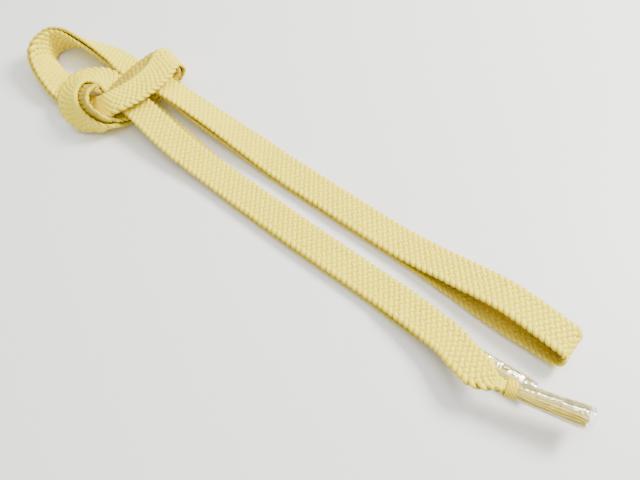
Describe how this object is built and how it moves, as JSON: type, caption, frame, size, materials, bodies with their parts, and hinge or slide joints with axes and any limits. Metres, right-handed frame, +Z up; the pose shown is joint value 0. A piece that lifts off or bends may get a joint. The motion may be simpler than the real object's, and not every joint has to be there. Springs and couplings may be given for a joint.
{
  "type": "braided sash cord",
  "caption": "Flat braided sash cord in pale yellow silk, folded and tied in an overhand knot, with loose thread tassels held in clear film sleeves.",
  "frame": {"origin": "centre of the bounding box, on the surface that the cord lies on", "axes": "+X from the knotted loop to the tassels, +Z up from the surface"},
  "size_m": [0.344, 0.0684, 0.0209],
  "materials": {
    "braid_silk": "knobbly braided silk, low sheen",
    "tassel_silk": "loose parallel silk threads, soft sheen",
    "binding_thread": "wound thread",
    "clear_film": "clear glossy packing film"
  },
  "bodies": {
    "cord": {"flat_braid": "braid_silk", "tassel_upper": "tassel_silk", "tassel_lower": "tassel_silk", "binding_upper": "binding_thread", "binding_lower": "binding_thread"},
    "upper_film": {"film_sleeve_upper": "clear_film"},
    "lower_film": {"film_sleeve_lower": "clear_film"}
  },
  "joints": [
    {"name": "upper_film_slide", "type": "slide", "parent": "cord", "child": "upper_film", "axis": [0.9659, 0.2588, 0], "range_m": [0, 0.045]},
    {"name": "lower_film_slide", "type": "slide", "parent": "cord", "child": "lower_film", "axis": [0.9997, 0.0262, 0], "range_m": [0, 0.045]}
  ]
}
